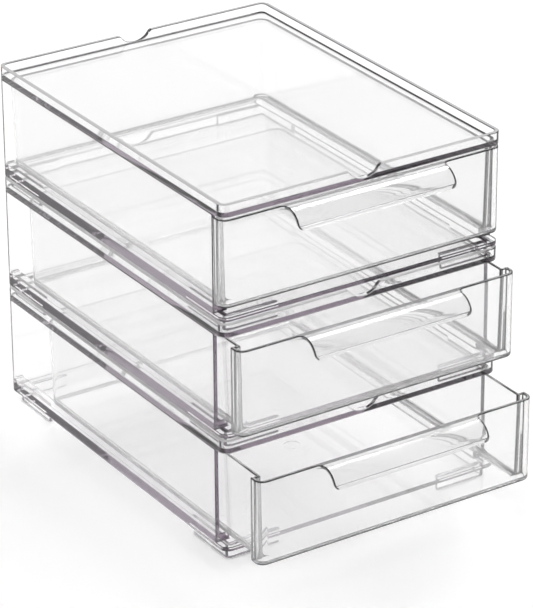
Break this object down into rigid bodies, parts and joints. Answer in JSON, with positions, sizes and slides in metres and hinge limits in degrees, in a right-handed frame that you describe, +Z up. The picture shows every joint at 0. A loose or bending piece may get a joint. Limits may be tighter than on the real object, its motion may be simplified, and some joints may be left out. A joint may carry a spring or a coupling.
{
  "type": "stackable drawer box",
  "caption": "Stack of clear moulded drawer units with sliding grip-lip drawers, rimmed lids with finger notches and corner feet that nest in the lid below.",
  "frame": {"origin": "under the middle of the whole stack with the lower drawers partly open as at rest, on the plane the feet stand on", "axes": "+X to the right along the drawer fronts seen from the front, +Y to the rear, +Z up; the drawers pull out along -Y"},
  "size_m": [0.2, 0.316, 0.2357],
  "materials": {
    "casing_clear": "clear gloss",
    "lid_clear": "clear gloss",
    "drawer_clear": "clear gloss"
  },
  "bodies": {
    "bottom_unit": {"bottom_casing": "casing_clear", "bottom_lid": "lid_clear"},
    "bottom_drawer_body": {"bottom_drawer": "drawer_clear"},
    "middle_unit": {"middle_casing": "casing_clear", "middle_lid": "lid_clear"},
    "middle_drawer_body": {"middle_drawer": "drawer_clear"},
    "top_unit": {"top_casing": "casing_clear", "top_lid": "lid_clear"},
    "top_drawer_body": {"top_drawer": "drawer_clear"}
  },
  "joints": [
    {"name": "bottom_drawer_slide", "type": "slide", "parent": "bottom_unit", "child": "bottom_drawer_body", "axis": [0, -1, 0], "range_m": [-0.0384, 0.1616]},
    {"name": "middle_unit_lift", "type": "slide", "parent": "bottom_unit", "child": "middle_unit", "axis": [0, 0, 1], "range_m": [0, 0.03]},
    {"name": "middle_drawer_slide", "type": "slide", "parent": "middle_unit", "child": "middle_drawer_body", "axis": [0, -1, 0], "range_m": [-0.0179, 0.1821]},
    {"name": "top_unit_lift", "type": "slide", "parent": "middle_unit", "child": "top_unit", "axis": [0, 0, 1], "range_m": [0, 0.03]},
    {"name": "top_drawer_slide", "type": "slide", "parent": "top_unit", "child": "top_drawer_body", "axis": [0, -1, 0], "range_m": [0, 0.2]}
  ]
}
